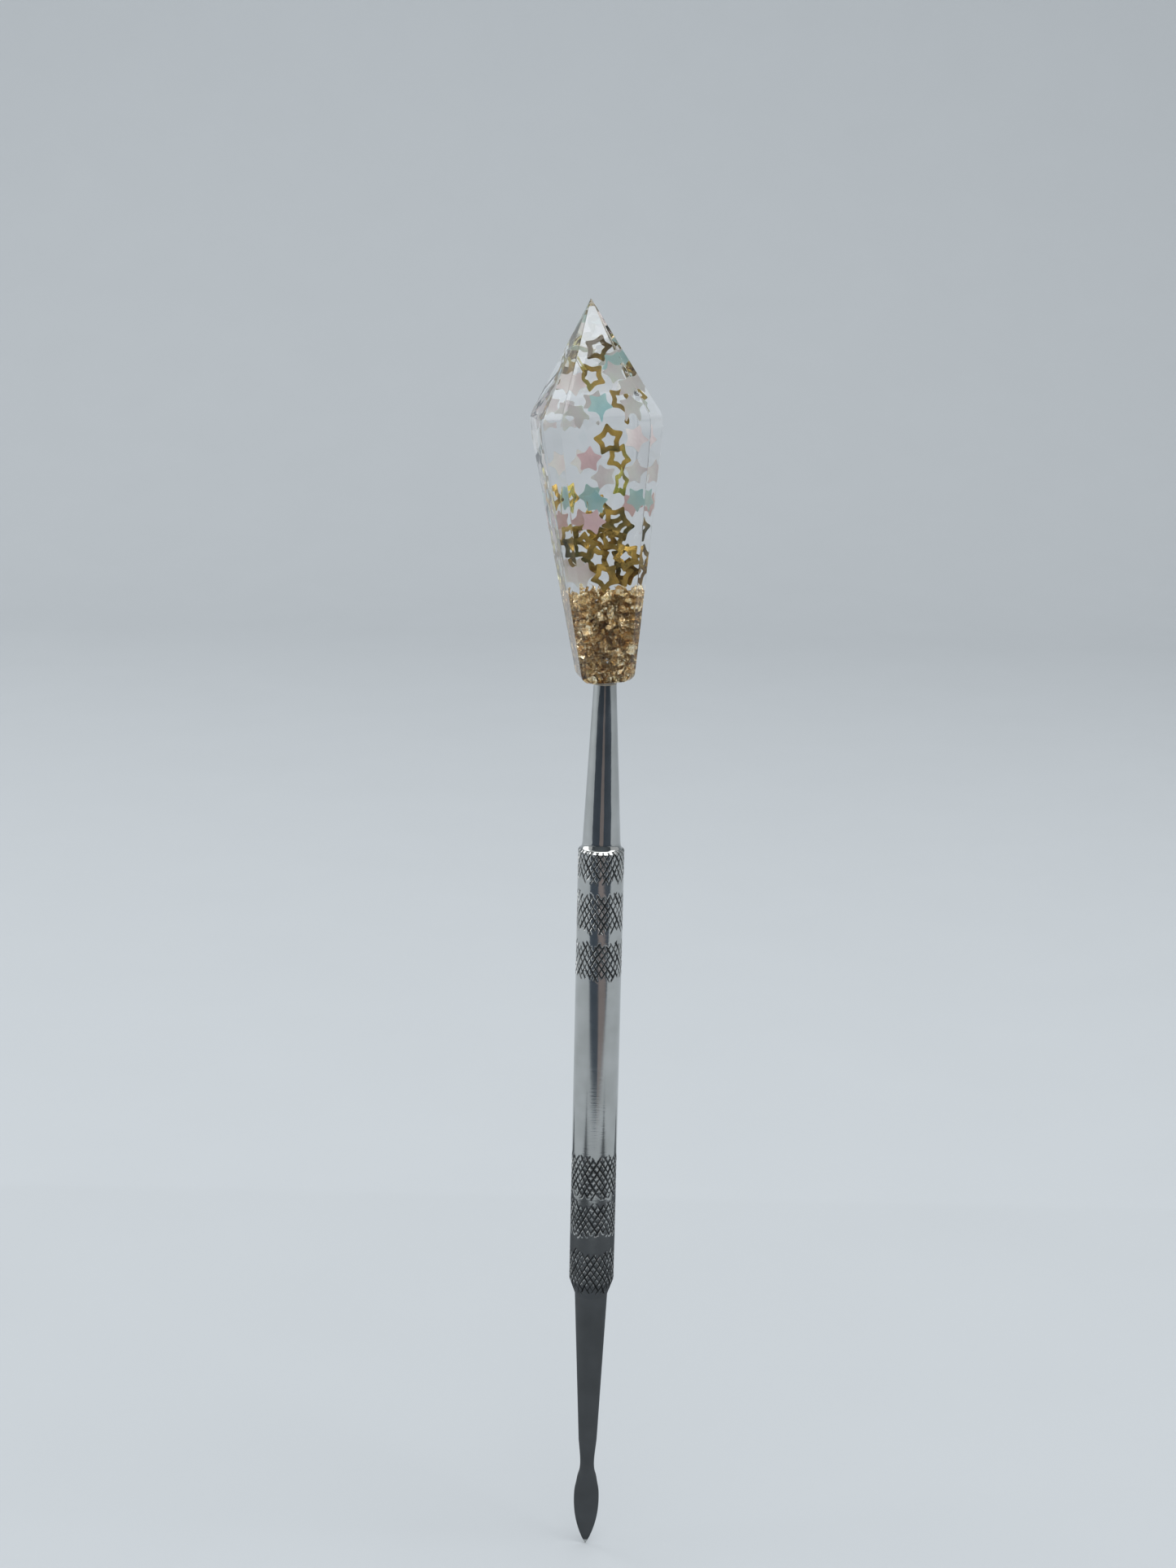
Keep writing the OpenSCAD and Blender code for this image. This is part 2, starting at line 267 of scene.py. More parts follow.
def facet_distance(z, crystal, top):
    """Axis to a broad facet at a height above the base: a taper, a straight belt, then a pyramid."""
    belt = crystal.girdle_h - crystal.belt_h
    return np.interp(z, [0, belt, crystal.girdle_h, top],
                     [crystal.base_a, crystal.girdle_a, crystal.girdle_a, 0])


# ---------------------------------------------------------------- materials

def add(tree, kind, inputs=None, **settings):
    """Adds a node, sets its properties, and sets or links its inputs."""
    node = tree.nodes.new(kind)
    for key, value in settings.items():
        setattr(node, key, value)
    for key, value in (inputs or {}).items():
        if isinstance(value, bpy.types.NodeSocket):
            tree.links.new(value, node.inputs[key])
        else:
            node.inputs[key].default_value = value
    return node


def new_material(name):
    """An empty material with its output, its tree and the object's coordinates."""
    material = bpy.data.materials.new(name)
    material.use_nodes = True
    tree = material.node_tree
    tree.nodes.clear()
    out = add(tree, "ShaderNodeOutputMaterial")
    place = add(tree, "ShaderNodeTexCoord").outputs["Object"]
    return material, tree, out, place


def ramp(tree, value, stops):
    """A colour ramp through (position, sRGB hex) stops."""
    node = add(tree, "ShaderNodeValToRGB", {"Fac": value})
    bar = node.color_ramp
    while len(bar.elements) < len(stops):
        bar.elements.new(0.5)
    for element, (position, code) in zip(bar.elements, stops):
        element.position = position
        element.color = linear(code)
    return node.outputs["Color"]


def steel_shader(name, lengthwise):
    """Bright-polished stainless steel: a neutral grey mirror. Buffing leaves hair lines about 0.15 mm
    apart, round the bar or along the shanks, which draw reflections out a little, and handling leaves
    faint dull patches."""
    material, tree, out, place = new_material(name)
    lines = add(tree, "ShaderNodeMapping", {
        "Vector": place, "Scale": (6500, 6500, 160) if lengthwise else (400, 400, 6500)})
    hair = add(tree, "ShaderNodeTexNoise", {"Vector": lines.outputs[0], "Scale": 1.0, "Detail": 3.0})
    # Dull patches a few millimetres across.
    smudge = add(tree, "ShaderNodeTexNoise", {"Vector": place, "Scale": 260.0, "Detail": 2.0})
    rough = add(tree, "ShaderNodeMapRange", {"Value": smudge.outputs["Fac"], "From Min": 0.35,
                                             "From Max": 0.7, "To Min": 0.035, "To Max": 0.1})
    bump = add(tree, "ShaderNodeBump", {"Height": hair.outputs["Fac"], "Strength": 0.14,
                                        "Distance": 0.00003})
    tone = ramp(tree, smudge.outputs["Fac"], [(0.3, "aeb0ae"), (0.75, "bfc1c0")])
    shader = add(tree, "ShaderNodeBsdfPrincipled", {
        "Base Color": tone, "Metallic": 1.0, "Roughness": rough.outputs[0],
        "Normal": bump.outputs[0]})
    tree.links.new(shader.outputs[0], out.inputs["Surface"])
    return material, tree, shader, tone


def polished_steel():
    """The shanks' steel, polished all over."""
    return steel_shader("polished stainless steel", True)[0]


def knurled_steel():
    """The same steel with grime and oxide in its knurl, and painted shade there too, so the grooves are
    dark and dull while the flat lozenges between them stay bright."""
    material, tree, shader, tone = steel_shader("knurled stainless steel", False)
    # Groove depth, read as grime and painted shade in the knurl.
    grime_and_shade = add(tree, "ShaderNodeAttribute", attribute_name="grime_and_shade")
    share = add(tree, "ShaderNodeMapRange", {"Value": grime_and_shade.outputs["Fac"], "From Min": 0.02,
                                             "From Max": 0.5, "To Min": 0.0, "To Max": 0.9})
    # Grime and painted shade: the grooves darken towards 2b2d2e with their depth.
    mixed = add(tree, "ShaderNodeMix", {"Factor": share.outputs[0], 6: tone, 7: linear("2b2d2e")},
                data_type="RGBA")
    dull = add(tree, "ShaderNodeMapRange", {"Value": share.outputs[0], "To Min": 0.11, "To Max": 0.4})
    tree.links.new(mixed.outputs[2], shader.inputs["Base Color"])
    tree.links.new(dull.outputs[0], shader.inputs["Roughness"])
    return material


def clear_resin():
    """Cast epoxy resin, polished by hand: water-clear, with a breath of ripple in the surface."""
    material, tree, out, place = new_material("clear cast resin")
    ripple = add(tree, "ShaderNodeTexNoise", {"Vector": place, "Scale": 420.0, "Detail": 2.0})
    bump = add(tree, "ShaderNodeBump", {"Height": ripple.outputs["Fac"], "Strength": 0.06,
                                        "Distance": 0.0001})
    shader = add(tree, "ShaderNodeBsdfPrincipled", {
        "Base Color": (1, 1, 1, 1), "Roughness": 0.015, "IOR": 1.5,
        "Transmission Weight": 1.0, "Normal": bump.outputs[0]})
    tree.links.new(shader.outputs[0], out.inputs["Surface"])
    return material


def clear_glue():
    """Two-part epoxy glue: a glossy, slightly warm, nearly clear bead."""
    material, tree, out, place = new_material("epoxy glue")
    cloud = add(tree, "ShaderNodeTexNoise", {"Vector": place, "Scale": 900.0, "Detail": 3.0})
    tone = ramp(tree, cloud.outputs["Fac"], [(0.35, "b9ad98"), (0.7, "e4e0d6")])
    shader = add(tree, "ShaderNodeBsdfPrincipled", {
        "Base Color": tone, "Roughness": 0.08, "IOR": 1.5, "Transmission Weight": 0.6})
    tree.links.new(shader.outputs[0], out.inputs["Surface"])
    return material


def leaf_metal():
    """Imitation gold leaf, crumpled: brass beaten thin, bright on each crease and brown in the folds. Its
    colour mixes brown tarnish with near-white painted highlights in random patches.
    """
    material, tree, out, place = new_material("crumpled gold leaf")
    # Random patches of about half a millimetre: brown tarnish, and near-white painted highlights.
    patch = add(tree, "ShaderNodeTexNoise", {"Vector": place, "Scale": 1500.0, "Detail": 3.0})
    tone = ramp(tree, patch.outputs["Fac"], [(0.3, "c49c70"), (0.45, "efd09a"), (0.6, "fff3d2")])
    # Creases of about a quarter of a millimetre.
    crease = add(tree, "ShaderNodeTexNoise", {"Vector": place, "Scale": 3600.0, "Detail": 2.0})
    bump = add(tree, "ShaderNodeBump", {"Height": crease.outputs["Fac"], "Strength": 0.7,
                                        "Distance": 0.00012})
    shader = add(tree, "ShaderNodeBsdfPrincipled", {
        "Base Color": tone, "Metallic": 0.8, "Roughness": 0.13, "Normal": bump.outputs[0]})
    tree.links.new(shader.outputs[0], out.inputs["Surface"])
    return material


def film_material(name, stops, metallic, roughness, alpha, film_nm):
    """Iridescent film: thin plastic whose tint turns with the angle it is seen at, from one end of the
    stops to the other, and differs from star to star. It is creased from being stirred in."""
    material, tree, out, place = new_material(name)
    # One star is about 3.5 mm across, so the tint drifts over about 3 mm.
    drift = add(tree, "ShaderNodeTexNoise", {"Vector": place, "Scale": 330.0, "Detail": 1.0})
    # Tint by facing angle; for the gold film the far, lemon end is a painted glint.
    facing = add(tree, "ShaderNodeLayerWeight", {"Blend": 0.35})
    mixed = add(tree, "ShaderNodeMath", {0: facing.outputs["Facing"], 1: drift.outputs["Fac"]},
                operation="ADD")
    half = add(tree, "ShaderNodeMath", {0: mixed.outputs[0], 1: 0.66}, operation="MULTIPLY")
    tone = ramp(tree, half.outputs[0], stops)
    # Creases of about half a millimetre.
    crease = add(tree, "ShaderNodeTexNoise", {"Vector": place, "Scale": 1500.0, "Detail": 1.0})
    bump = add(tree, "ShaderNodeBump", {"Height": crease.outputs["Fac"], "Strength": 0.5,
                                        "Distance": 0.00015})
    shader = add(tree, "ShaderNodeBsdfPrincipled", {
        "Base Color": tone, "Metallic": metallic, "Roughness": roughness, "Alpha": alpha,
        "Thin Film Thickness": film_nm, "Thin Film IOR": 1.4, "Normal": bump.outputs[0]})
    tree.links.new(shader.outputs[0], out.inputs["Surface"])
    return material


def gold_film():
    """Gold holographic film: brown-gold face on, olive and then lemon where it tips away; that pale lemon is
    a painted glint.
    """
    # The last stop, f6f08a, is a painted glint where the film tips away.
    return film_material("gold holographic film", [
        (0.22, "57512f"), (0.34, "967a3e"), (0.44, "ba9a50"), (0.54, "8b8344"), (0.64, "c6bb52"),
        (0.78, "f6f08a")], 0.75, 0.2, 1.0, 420)


def pearl_film():
    """Mother-of-pearl film: milky, turning from rose to pale green."""
    return film_material("pearl film", [
        (0.25, "f0dfe0"), (0.42, "f6efec"), (0.6, "f2f6e8"), (0.8, "dcfbea")], 0.0, 0.16, 0.74, 380)


def pink_film():
    """Pearl film dyed rose."""
    return film_material("rose pearl film", [
        (0.25, "e8c6c5"), (0.5, "edcfcc"), (0.8, "f2e2e6")], 0.0, 0.2, 0.86, 300)


def aqua_film():
    """Pearl film dyed sea green."""
    return film_material("aqua pearl film", [
        (0.25, "a9d9da"), (0.5, "c8e7e1"), (0.8, "e0f7ef")], 0.0, 0.18, 0.74, 340)


# ---------------------------------------------------------------- steel

def band_edges(steel):
    """(low, high) heights of the six knurled bands. The last one runs on over the end bevel."""
    half = GRIP["dims"]["length_mm"] * MM / 2
    edges, z = [], half
    for band, gap in zip(steel.upper_bands, (*steel.upper_gaps, 0)):
        edges.append((z, z + band))
        z += band + gap
    z = -half
    for band, gap in zip(steel.lower_bands, (*steel.lower_gaps, 0)):
        edges.append((z - band, z))
        z -= band + gap
    # The outermost grooves run on over the rim above, and further over the end bevel below.
    edges[2] = (edges[2][0], edges[2][1] + steel.rim_bevel + 0.2 * MM)
    edges[5] = (edges[5][0] - steel.knurl_run_on, edges[5][1])
    return edges


def knurl(a, z, steel, radius):
    """Depth of the knurl at angle a and height z, 0 to 1. Two families of V grooves cross at the lead
    angle. A groove's phase counts grooves round the bar, and each groove starts and stops at a height
    of its own, so a band's ends are ragged. Its depth also swells and fades along it."""
    rng = np.random.default_rng(3)
    n = steel.knurl_starts
    shape = np.broadcast(a, z).shape
    depth = np.zeros(shape)
    ragged, fade = 0.45 * MM, 0.3 * MM
    for low, high in band_edges(steel):
        for way in (1, -1):
            wobble = (0.07 * np.sin(4 * a + rng.uniform(0, 6))
                      + 0.05 * np.sin(z / MM * 1.7 + rng.uniform(0, 6)))
            turned = a + way * tan(steel.knurl_lead) / radius * z
            phase = n / (2 * pi) * turned + rng.random() + wobble
            nearest = np.round(phase)
            number = nearest.astype(int) % n
            start = low + rng.uniform(-1, 1, n)[number] * ragged
            stop = high + rng.uniform(-1, 1, n)[number] * ragged
            window = ease((z - start) / fade) * ease((stop - z) / fade)
            swell = 0.78 + 0.22 * np.sin(z / MM * rng.uniform(0.8, 2.2, n)[number] + 2.4 * number)
            width = 0.17 + 0.05 * np.sin(1.9 * number + z / MM)
            cut = np.clip(1 - np.abs(phase - nearest) / width, 0, 1)
            depth = np.maximum(depth, cut * window * swell)
    return depth


class WAND_OT_handle(bpy.types.Operator):
    """Knurled steel bar: a turned outline, r(z), less the knurl's depth at each angle and height"""
    bl_idname = "wand.handle"
    bl_label = "Handle Bar"

    def execute(self, context):
        steel = context.scene.wand_steel
        low, high = (c[2] for c in node_box("handle_bar"))
        radius = GRIP["dims"]["r_mm"] * MM
        columns, step, margin = 288, 0.12 * MM, 0.6 * MM
        heights = [np.linspace(low, low + steel.end_taper, 3), [high, high - steel.rim_bevel]]
        for a, b in band_edges(steel):
            a, b = max(a - margin, low), min(b + margin, high)
            heights.append(np.linspace(a, b, int((b - a) / step)))
        half = GRIP["dims"]["length_mm"] * MM / 2
        heights.append(np.linspace(-half, half, 12))
        z = np.unique(np.round(np.concatenate(heights), 7))
        z = z[np.append(True, np.diff(z) > 0.02 * MM)]
        outline = np.interp(z, [low, low + steel.end_taper, high - steel.rim_bevel, high],
                            [steel.lower_neck_d / 2, radius, radius, radius - steel.rim_bevel])
        a = np.arange(columns) * 2 * pi / columns
        depth = knurl(a[None, :], z[:, None], steel, radius) * steel.knurl_depth
        r = outline[:, None] - depth
        rings = np.stack([r * np.cos(a), r * np.sin(a), np.broadcast_to(z[:, None], r.shape)], axis=-1)
        points, faces = closed_tube(rings)
        # Groove depth at each point, kept for the material's grime and painted shade.
        grime_and_shade = np.append((depth / steel.knurl_depth).ravel(), [0, 0])
        make_piece("knurled_handle_bar", points, faces, knurled_steel(), ["handle_bar"],
                   radians(20), grime_and_shade)
        return {"FINISHED"}


class WAND_OT_upper_shank(bpy.types.Operator):
    """Upper shank: a spigot, a quarter-ellipse foot and a straight taper, turned about Z"""
    bl_idname = "wand.upper_shank"
    bl_label = "Upper Shank"

    def execute(self, context):
        steel = context.scene.wand_steel
        top = node_box("upper_shank")[1][2]
        foot = GRIP["dims"]["r_mm"] * MM - steel.rim_bevel
        base = node_box("handle_bar")[1][2]
        neck, tang, tang_bevel = steel.upper_neck_d / 2, steel.tang_d / 2, 0.2 * MM
        t = np.linspace(0, pi / 2, 14)
        flare = np.stack([neck + (foot - neck) * (1 - np.sin(t)),
                          base + 4 * (foot - neck) * (1 - np.cos(t))], axis=-1)
        head = head_height(steel)
        taper = np.linspace((neck, flare[-1, 1]), (tang, head), 40)[1:]
        profile = np.vstack([
            [(steel.spigot_d / 2, base - steel.spigot_len), (steel.spigot_d / 2, base)], flare, taper,
            [(tang, top - tang_bevel), (tang - tang_bevel, top)]])
        points, faces = closed_tube(revolve(profile, 128))
        make_piece("tapered_upper_shank", points, faces, polished_steel(), ["upper_shank"],
                   radians(38))
        return {"FINISHED"}


class WAND_OT_lower_shank(bpy.types.Operator):
    """Lower shank: ellipses carried down the axis. They start round, and from the blade's neck their
    width swells to a leaf while their thickness shrinks to a thin point"""
    bl_idname = "wand.lower_shank"
    bl_label = "Lower Shank"

    def execute(self, context):
        steel = context.scene.wand_steel
        bottom = node_box("lower_shank")[0][2]
        joint = node_box("handle_bar")[0][2]
        blade_top = bottom + steel.blade_len
        neck, thin = steel.lower_neck_d / 2, steel.blade_neck_d / 2
        z = np.concatenate([
            [joint + steel.spigot_len, joint, joint - 1e-6],
            np.linspace(joint, blade_top, 24)[1:-1],
            blade_top + (bottom - blade_top) * np.linspace(0, 1, 64)[:-1],
            [bottom + 0.02 * MM]])
        round_part = np.interp(-z, [-joint, -blade_top], [neck, thin])
        round_part[:2] = steel.spigot_d / 2
        t = np.clip((blade_top - z) / steel.blade_len, 0, 1)
        leaf = steel.blade_w / 2 * np.sin(pi * t ** 1.3) ** 0.8
        waist = thin * (1 - 1.3 * t)
        blend = np.hypot(np.maximum(waist, 0), leaf * ease(t / 0.5))
        width = np.where(t > 0, np.maximum(blend, leaf * ease(t / 0.35)), round_part)
        flattened = np.interp(t, [0, 0.18, 0.45, 1], [thin, 0.62 * thin, steel.blade_t / 2, 0.1 * MM])
        thick = np.where(t > 0, flattened, round_part)
        width = np.maximum(width, 0.05 * MM)
        columns = 96
        a = np.arange(columns) * 2 * pi / columns
        rings = np.stack([width[:, None] * np.cos(a), thick[:, None] * np.sin(a),
                          np.broadcast_to(z[:, None], (len(z), columns))], axis=-1)
        points, faces = closed_tube(rings[::-1])
        make_piece("leaf_blade_shank", points, faces, polished_steel(), ["lower_shank"],
                   radians(38))
        return {"FINISHED"}


# ---------------------------------------------------------------- crystal

def soft_polyline(corners, reach, steps):
    """A polyline whose inner corners are rounded by a parabola that starts reach before each."""
    out = [corners[:1]]
    t = np.linspace(0, 1, steps)[:, None]
    for before, at, after in zip(corners[:-2], corners[1:-1], corners[2:]):
        a = at + (before - at) * min(0.4, reach / np.linalg.norm(before - at))
        b = at + (after - at) * min(0.4, reach / np.linalg.norm(after - at))
        out.append((1 - t) ** 2 * a + 2 * t * (1 - t) * at + t ** 2 * b)
    return np.vstack([*out, corners[-1:]])


def refine(line, step):
    """The same polyline with no stretch longer than step."""
    out = [line[:1]]
    for a, b in zip(line[:-1], line[1:]):
        n = max(1, int(np.ceil(np.linalg.norm(b - a) / step)))
        out.append(a + (b - a) * (np.arange(1, n + 1) / n)[:, None])
    return np.vstack(out)


def cut_square_rings(a, z, cut, edge):
    """Rings of a square of half width a with its corners cut and every edge rounded. A corner's arc is
    its point, pulled in by the edge radius, plus that radius turned between the two facets' normals.
    Between arcs a facet is straight, with a point close to each arc to keep its shading flat."""
    diagonal = (2 * a - cut) / 2 ** 0.5
    near = np.array([0.06, 0.3, 0.5, 0.7, 0.94])
    arcs = []
    for k in range(8):
        d0, d1 = (a, diagonal) if k % 2 == 0 else (diagonal, a)
        n0, n1 = k * pi / 4, (k + 1) * pi / 4
        # The pulled-in corner lies on both facets' lines.
        e0, e1 = d0 - edge, d1 - edge
        x = (e0 * sin(n1) - e1 * sin(n0)) / sin(n1 - n0)
        y = (e1 * cos(n0) - e0 * cos(n1)) / sin(n1 - n0)
        turn = np.linspace(n0, n1, 6)
        arcs.append(np.stack([x[:, None] + edge[:, None] * np.cos(turn),
                              y[:, None] + edge[:, None] * np.sin(turn)], axis=-1))
    ring = []
    for k in range(8):
        start, stop = arcs[k][:, -1:], arcs[(k + 1) % 8][:, :1]
        ring += [arcs[k], start + (stop - start) * near[None, :, None]]
    ring = np.concatenate(ring, axis=1)
    return np.concatenate([ring, np.broadcast_to(z[:, None, None], (*ring.shape[:2], 1))], axis=-1)


class WAND_OT_crystal(bpy.types.Operator):
    """Crystal: cut-corner square rings carried up a softened outline, with slow waves of up to about
    two hundredths of a millimetre. Both pours are one clear body to the eye, as they cure together"""
    bl_idname = "wand.crystal"
    bl_label = "Resin Crystal"

    def execute(self, context):
        steel, crystal = context.scene.wand_steel, context.scene.wand_crystal
        top = head_length(steel, crystal)
        belt = crystal.girdle_h - crystal.belt_h
        lift = (crystal.girdle_a - crystal.base_a) / belt * crystal.base_edge
        tiny = 0.02 * MM
        corners = np.array([
            (tiny, 0), (crystal.base_a - crystal.base_edge, 0),
            (crystal.base_a + lift, crystal.base_edge), (crystal.girdle_a, belt),
            (crystal.girdle_a, crystal.girdle_h), (tiny, top)])
        line = refine(soft_polyline(corners, 0.5 * MM, 7), 1.3 * MM)
        a, z = line[:, 0], line[:, 1]
        cut = crystal.corner_cut / crystal.girdle_a * a
        edge = np.minimum(crystal.soft_edge, 0.3 * cut)
        rings = cut_square_rings(a, z, cut, edge)
        p = rings / MM
        wave = (np.sin(0.9 * p[..., 0] + 0.55 * p[..., 2] + 1.1)
                + np.sin(0.8 * p[..., 1] - 0.43 * p[..., 2])
                + 0.7 * np.sin(1.3 * p[..., 0] - 1.1 * p[..., 1] + 0.23 * p[..., 2] + 2))
        flat = np.concatenate([rings[..., :2], 0 * rings[..., 2:]], axis=-1)
        outward = flat / np.maximum(np.linalg.norm(flat, axis=-1, keepdims=True), 1e-9)
        fade = np.clip(a / crystal.base_a, 0, 1)[:, None, None]
        rings = rings + outward * (wave[..., None] - 1.5) * crystal.wave / 2 * fade
        points, faces = closed_tube(rings)
        make_piece("faceted_resin_crystal", to_wand(points, steel, crystal), faces, clear_resin(),
                   ["clear_pour", "leaf_pour"])
        return {"FINISHED"}


class WAND_OT_glue(bpy.types.Operator):
    """Glue bead: a hollow-cheeked meniscus turned about the shank, its top sheared to the leaning base"""
    bl_idname = "wand.glue"
    bl_label = "Glue Bead"

    def execute(self, context):
        steel, crystal = context.scene.wand_steel, context.scene.wand_crystal
        base = head_height(steel)
        inner = steel.tang_d / 2
        t = np.linspace(0, pi / 2, 12)
        cheek = np.stack([inner + 0.05 * MM + crystal.bead_spread * (1 - np.cos(t)),
                          base - crystal.bead_h * (1 - np.sin(t))], axis=-1)
        profile = np.vstack([[(inner - 0.1 * MM, base - crystal.bead_h)], cheek,
                             [(inner - 0.1 * MM, base)]])
        columns = 72
        rings = revolve(profile, columns)
        a = np.arange(columns) * 2 * pi / columns
        swell = 1 + 0.12 * np.sin(2 * a + 0.6) + 0.07 * np.sin(5 * a)
        near_top = (rings[..., 2] - base + crystal.bead_h) / crystal.bead_h
        r = np.linalg.norm(rings[..., :2], axis=-1)
        grown = np.where(r > inner, inner + (r - inner) * swell, r)
        rings[..., :2] *= (grown / r)[..., None]
        rings[..., 2] += near_top * (rings[..., 0] * tan(crystal.tilt) - 0.004 * MM)
        # The tube is closed on itself: the last ring joins the first one inside the shank.
        n, m, _ = rings.shape
        points = rings.reshape(-1, 3)
        make_piece("glue_bead", points, [grid_quads(n, m), join_rows(n, m)], clear_glue(), ["glue_bond"],
                   radians(50))
        return {"FINISHED"}


# ---------------------------------------------------------------- confetti and leaf

def plate_frame(name):
    """Middle, direction to the topmost star point, direction across and normal of a flat CAD star, all
    found from the corners of its own mesh, and its radius."""
    mesh = frame["nodes"][name].data
    p = np.empty(len(mesh.vertices) * 3)
    mesh.vertices.foreach_get("co", p)
    p = np.unique(np.round(p.reshape(-1, 3), 6), axis=0)
    middle = p.mean(0)
    normal = np.linalg.svd(p - middle)[2][2]
    normal = normal if normal[1] < 0 else -normal
    far = np.linalg.norm(p - middle, axis=1)
    tips = p[far > 0.97 * far.max()]
    up = tips[tips[:, 2].argmax()] - middle
    up -= normal * (up @ normal)
    radius = np.linalg.norm(up)
    up /= radius
    return middle, up, np.cross(up, normal), normal, radius


def star_outline(depth, per_edge):
    """Unit star with five points, as angle-ordered corners joined by straight edges and then eased
    twice with their neighbours, which rounds each point as a punch does."""
    k = np.arange(10)
    r = np.where(k % 2 == 0, 1.0, depth)
    corner = np.stack([r * np.sin(k * pi / 5), r * np.cos(k * pi / 5)], axis=-1)
    t = (np.arange(per_edge) / per_edge)[None, :, None]
    line = (corner[:, None] * (1 - t) + np.roll(corner, -1, axis=0)[:, None] * t).reshape(-1, 2)
    for _ in range(2):
        line = (np.roll(line, 1, axis=0) + 2 * line + np.roll(line, -1, axis=0)) / 4
    return line


def film_star(name, piece, material, depth, hole, sizes, rng):
    """A star of film in its CAD star's place. The two faces are the outline drawn at several scales,
    from the middle or the hole out to the edge. The film curls: its height over its own plane is a
    square law along one line, another across it, and a twist."""
    middle, up, across, normal, radius = plate_frame(name)
    outer = star_outline(depth, 5)
    inner = hole * star_outline(0.62, 5) if hole else 0.04 * outer
    t = np.linspace(0, 1, 4)[:, None, None]
    flat = (inner[None] * (1 - t) + outer[None] * t) * radius
    lead = rng.random() * pi
    u = (flat[..., 0] * cos(lead) + flat[..., 1] * sin(lead)) / MM
    v = (-flat[..., 0] * sin(lead) + flat[..., 1] * cos(lead)) / MM
    bend, sway, twist = sizes.curl * rng.uniform(-1, 1, 3)
    height = (bend * u * u / 2 + sway * 0.4 * v * v / 2 + twist * 0.6 * u * v) * MM
    height -= height.mean()
    sides = []
    for offset in (sizes.film_t / 2, -sizes.film_t / 2):
        sides.append(middle + flat[..., :1] * across + flat[..., 1:] * up
                     + (height + offset)[..., None] * normal)
    # The face row by row, then the back row by row inwards, makes one closed ring of rows.
    rows = np.concatenate([sides[0], sides[1][::-1]])
    n, m, _ = rows.shape
    points = rows.reshape(-1, 3)
    faces = [grid_quads(n, m), join_rows(n, m)]
    if not hole:
        i = np.arange(m)
        points = np.vstack([points, rows[0].mean(0), rows[-1].mean(0)])
        faces = [faces[0], np.stack([(i + 1) % m, i, np.full(m, n * m)], axis=-1),
                 np.stack([(n - 1) * m + i, (n - 1) * m + (i + 1) % m, np.full(m, n * m + 1)], axis=-1)]
    make_piece(piece, points, faces, material, [name], radians(50))


class WAND_OT_stars(bpy.types.Operator):
    """Confetti stars: each takes the place, tip and turn of its CAD star and curls a little"""
    bl_idname = "wand.stars"
    bl_label = "Confetti Stars"

    def execute(self, context):
        sizes = context.scene.wand_confetti
        rng = np.random.default_rng(sizes.seed)
        kinds = [
            ("outline_star", "gold_outline_film", gold_film(), "gold_film", 0.58),
            ("pearl_star", "pearl_film_star", pearl_film(), "pearl_film", 0.54),
            ("pink_star", "rose_film_star", pink_film(), "pink_film", 0.54),
            ("aqua_star", "aqua_film_star", aqua_film(), "aqua_film", 0.54),
        ]
        for stem, piece, material, slot, depth in kinds:
            count = sum(name.startswith(stem + "_") for name in frame["nodes"])
            for i in range(1, count + 1):
                name = f"{stem}_{i}"
                hole = sizes.outline_hole if stem == "outline_star" else 0.0
                film_star(name, f"{piece}_{i}", material, depth, hole, sizes, rng)
        return {"FINISHED"}


